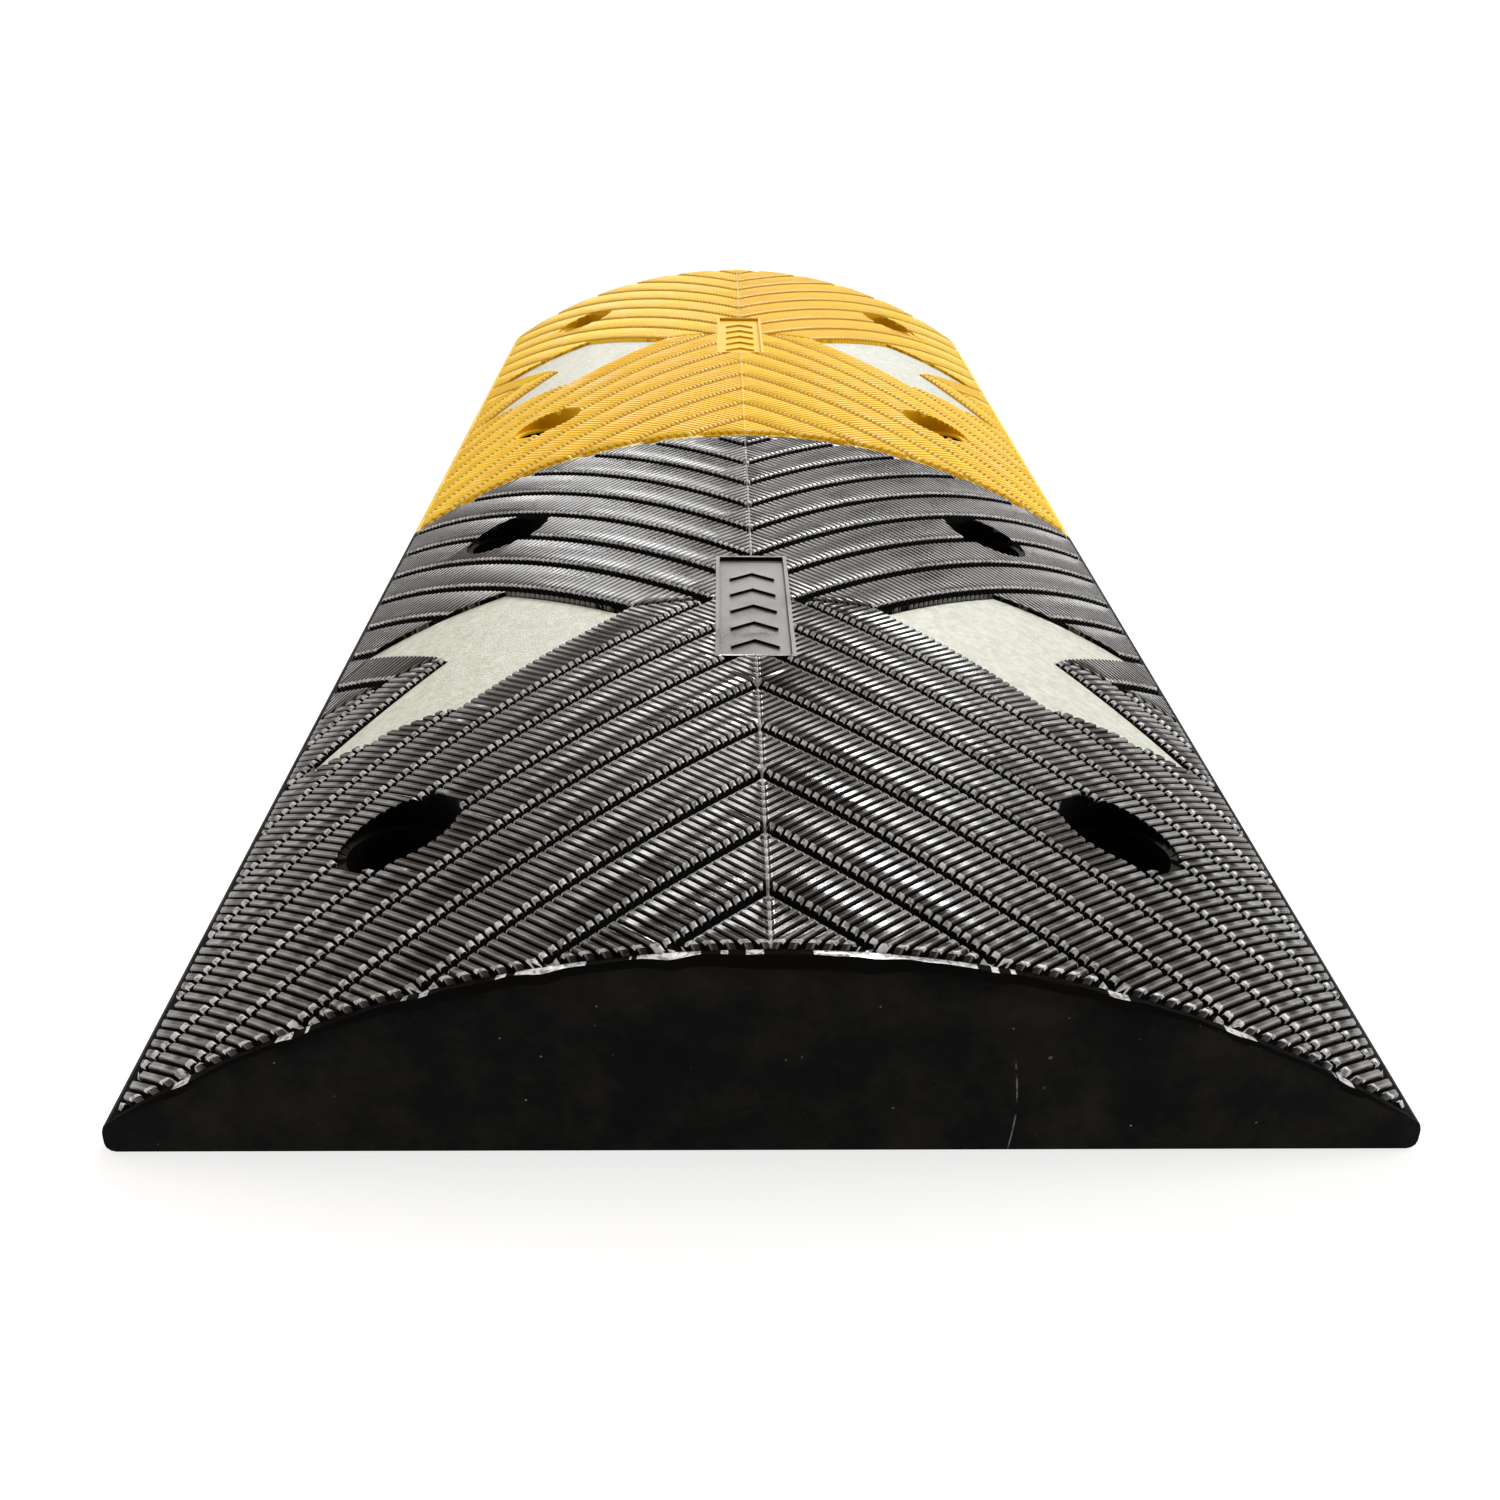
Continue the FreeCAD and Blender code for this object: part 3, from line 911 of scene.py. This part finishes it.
def paint(piece, finishes, middle, seed):
    """Gives each face its finish by its place and its lean: rubber, painted highlights or painted
    shade. A later line wins over an earlier.
    """
    mesh = piece.data
    mesh.materials.clear()
    for finish in FINISHES:
        mesh.materials.append(finishes[finish])
    (x, y, z), (_, lean_y, lean_z) = face_places(mesh, middle)
    from_axis = np.hypot(x, z - DOME_AXIS)
    depth = DOME_RADIUS - from_axis
    across, along = np.abs(x) * DOME_RADIUS / from_axis, np.abs(y - TREAD_SHIFT)
    rib_offset, outward = lattice_offsets((across + along) / ROOT_2, (along - across) / ROOT_2)
    on_rib = np.abs(rib_offset) < BEAD_REACH
    from_end = HALF_LENGTH - np.abs(y)
    faces_end = np.abs(lean_y) > 0.5
    index = np.full(len(x), TREAD)

    # Painted shade on the gaps beside rib ends and on every face deep in the tread.
    near_half = y < TREAD_SHIFT
    in_tread = (across < TREAD_REACH) & (from_end > END_STRIP) & (depth < GROOVE_DEPTH + 0.5)
    near_gap = np.abs(outward) < NEAR_BEAD[0]
    gap = np.where(near_half, near_gap, between(outward, (FAR_GAP, FAR_BEAD[0])))
    index[in_tread & (gap | (depth > GROOVE_TOP))] = PAINTED_SHADE
    # Painted highlights on the rounded rib ends along the grooves, on the row of rib ends along
    # the end strip, and on the crown seam.
    near_bead, far_bead = between(np.abs(outward), NEAR_BEAD), between(outward, FAR_BEAD)
    bead = np.where(near_half, near_bead, far_bead) & on_rib
    knob = between(from_end - END_STRIP, KNOB_ROW) & on_rib
    index[in_tread & (bead | knob | (across < SEAM_REACH))] = PAINTED_HIGHLIGHT

    # The strip along the ends gets painted shade, with painted highlights where it would catch the
    # light.
    in_strip = (from_end < END_STRIP) & (across < TREAD_REACH)
    in_strip &= (depth < STRIP_FLOOR) & (lean_z > 0.25)
    index[in_strip] = PAINTED_SHADE
    index[in_strip & strip_painted_highlights(x, y, from_end, seed)] = PAINTED_HIGHLIGHT

    line_x = MOULD_RINGS[0][0]
    near_line, far_line = (mould_line(x, line_x, side, seed) for side in (NEAR_END, FAR_END))
    end_band = (from_end < END_BAND) & faces_end
    index[(across > TREAD_REACH) & ~faces_end] = PLAIN
    index[end_band] = PLAIN
    # Painted shade on the band of the end face above the mould line, under the strip.
    index[end_band & (depth < np.where(y < 0, near_line, far_line) - 0.1)] = PAINTED_SHADE
    index[lean_z < -0.9] = PLAIN

    half_width, half_length = PLATE_WIDTH / 2, PLATE_LENGTH / 2
    in_plate = (across < half_width + PLATE_RIM) & (np.abs(y) < half_length + PLATE_RIM)
    on_rim = (across > half_width) | (np.abs(y) > half_length)
    # Painted shade on the pocket's walls and painted highlights on the rim's top; on the black
    # module the plate's own finish is a grey painted reflection.
    index[in_plate] = np.where(lean_z[in_plate] < 0.5, PAINTED_SHADE, SMOOTH)
    index[in_plate & on_rim & (lean_z > 0.7)] = PAINTED_HIGHLIGHT
    in_bolt = np.hypot(np.abs(x) - BOLT_X, np.abs(y) - BOLT_Y) < MOUTH_RADIUS + 0.1
    # Painted shade on the bolt mouths' walls above the ledge; the socket below is plain rubber.
    index[in_bolt] = np.where(z[in_bolt] < LEDGE_HEIGHT + 0.5, PLAIN, PAINTED_SHADE)
    mesh.polygons.foreach_set("material_index", index)


def coat(piece, material):
    """Gives a whole piece one material."""
    piece.data.materials.clear()
    piece.data.materials.append(material)


def finish_piece(piece, node):
    """Smooth shading broken at sharp edges, and the piece's place in the frame."""
    piece.data.shade_smooth()
    piece.data.set_sharp_from_angle(angle=math.radians(SHARP_ANGLE))
    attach(piece, "root")
    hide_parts(node)


# ---------------------------------------------------------------- pieces


plain = plain_rubber("black_rubber_plain")
black = {
    # Black rubber with dust, and a painted highlight line along each rib.
    "tread": rubber(
        "black_rubber_tread",
        (0.011, 0.007, 0.0045),
        (0.034, 0.024, 0.017),
        (0.16, 0.4),
        0.7,
        dust=0.15,
        line=BLACK_MIDDLE,
    ),
    # Pale paint on black rubber: painted highlights on rib ends, the crown seam, strip flecks and
    # the plate rim. Its dark speckles break up the painted highlights.
    "highlight_paint": rubber(
        "black_rubber_painted_highlights",
        (0.45, 0.445, 0.44),
        (0.80, 0.79, 0.78),
        (0.15, 0.3),
        0.9,
        speckle=0.6,
    ),
    # Near-black painted shade: grooves and gaps, the end strip and the band under it, and pocket
    # and bolt-mouth walls.
    "grooves": rubber(
        "black_rubber_painted_shade", (0.001, 0.001, 0.001), (0.003, 0.0025, 0.002), (0.7, 0.9), 0.05
    ),
    "plain": plain,
    # Grey on the black name plate: a painted reflection.
    "smooth": rubber(
        "black_rubber_plate_painted_reflection", (0.10, 0.088, 0.082), (0.19, 0.172, 0.163), (0.25, 0.45), 0.6
    ),
}
yellow_top = rubber(
    "yellow_rubber_tread", (1.0, 0.59, 0.004), (1.0, 0.66, 0.010), (0.4, 0.6), 0.2
)
yellow = {
    "tread": yellow_top,
    # Paler yellow: painted highlights on the same faces as on the black module.
    "highlight_paint": rubber(
        "yellow_rubber_painted_highlights", (1.0, 0.72, 0.10), (1.0, 0.80, 0.22), (0.3, 0.45), 0.5
    ),
    # Deeper yellow: painted shade on the same faces as on the black module.
    "grooves": rubber(
        "yellow_rubber_painted_shade", (0.66, 0.34, 0.002), (0.78, 0.42, 0.005), (0.7, 0.9), 0.1
    ),
    "plain": yellow_top,
    "smooth": yellow_top,
}
arrow_sheet = bead_sheet("reflective_bead_sheet")

black_module = module_blank("black_module", BLACK_MIDDLE, seed=1)
combine(black_module, "DIFFERENCE", openings(BLACK_MIDDLE))
combine(black_module, "UNION", plate_parts(BLACK_MIDDLE))
paint(black_module, black, BLACK_MIDDLE, seed=1)
finish_piece(black_module, "black_module_body")

yellow_cover = module_blank("yellow_cover", YELLOW_MIDDLE, seed=5)
combine(yellow_cover, "DIFFERENCE", [core_tool(YELLOW_MIDDLE)] + openings(YELLOW_MIDDLE))
combine(yellow_cover, "UNION", plate_parts(YELLOW_MIDDLE))
paint(yellow_cover, yellow, YELLOW_MIDDLE, seed=5)
finish_piece(yellow_cover, "yellow_module_cover")

for name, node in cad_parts.items():
    if name.endswith("_arrow"):
        coat(node, arrow_sheet)
    elif name == "yellow_module_base":
        coat(node, plain)


# ---------------------------------------------------------------- floor, light, camera


def stage_floor():
    """A wide pale floor that the module rests on."""
    bpy.ops.mesh.primitive_plane_add(size=FLOOR_SIZE, location=(0, FLOOR_SIZE / 3, 0))
    floor = bpy.context.object
    floor.name = "floor"
    material, _, shader = new_material("pale_floor")
    shader.inputs["Base Color"].default_value = (0.5, 0.5, 0.5, 1)
    shader.inputs["Emission Color"].default_value = (1, 1, 1, 1)
    shader.inputs["Emission Strength"].default_value = 0.7
    shader.inputs["Roughness"].default_value = 0.9
    shader.inputs["Specular IOR Level"].default_value = 0.1
    floor.data.materials.append(material)


def soft_light(name, azimuth, elevation, spread, strength, colour=(1, 1, 1)):
    """A far soft light, `spread` degrees across. Azimuth goes from +Y towards +X, in degrees."""
    light = bpy.data.lights.new(name, "SUN")
    light.angle = math.radians(spread)
    light.energy = strength
    light.color = colour
    lamp = bpy.data.objects.new(name, light)
    bpy.context.scene.collection.objects.link(lamp)
    lamp.rotation_euler = (math.radians(elevation - 90), 0, math.radians(-azimuth))


def set_world(low, high, colour):
    """A pale sky, as strong as `low` at the horizon and as `high` from 17 degrees up."""
    world = bpy.data.worlds.new("studio")
    bpy.context.scene.world = world
    world.use_nodes = True
    tree = world.node_tree
    background = tree.nodes["Background"]
    background.inputs["Color"].default_value = (*colour, 1)
    direction = tree.nodes.new("ShaderNodeTexCoord")
    parts = tree.nodes.new("ShaderNodeSeparateXYZ")
    tree.links.new(direction.outputs["Generated"], parts.inputs["Vector"])
    strength = ranged(tree, parts.outputs["Z"], *SKY_BAND, low, high)
    tree.links.new(strength, background.inputs["Strength"])


def add_camera():
    """The camera, low over the near end and looking down along the bump."""
    data = bpy.data.cameras.new("camera")
    data.sensor_width = 36
    data.lens = CAMERA_LENS
    camera = bpy.data.objects.new("camera", data)
    bpy.context.scene.collection.objects.link(camera)
    turn = Matrix.Rotation(math.radians(CAMERA_YAW), 4, "Z")
    tilt = Matrix.Rotation(math.radians(90 - CAMERA_PITCH), 4, "X")
    roll = Matrix.Rotation(math.radians(CAMERA_ROLL), 4, "Z")
    camera.matrix_world = Matrix.Translation(CAMERA_PLACE) @ turn @ tilt @ roll
    bpy.context.scene.camera = camera


stage_floor()
set_world(0.62, 0.12, (1.0, 0.98, 0.96))
soft_light("back_left", -10, 15, 20, 0.5)
soft_light("back_high", 15, 25, 13, 0.35)
soft_light("back_low", 24, 5, 18, 0.15)
soft_light("right", 76, 40, 34, 1.65)
soft_light("left", -97, 41, 80, 0.9, WARM)
soft_light("front_left", -60, 30, 30, 0.35, WARM)
soft_light("key", 13, 38, 14, 1.3)
add_camera()
bpy.context.scene.view_settings.view_transform = "Standard"
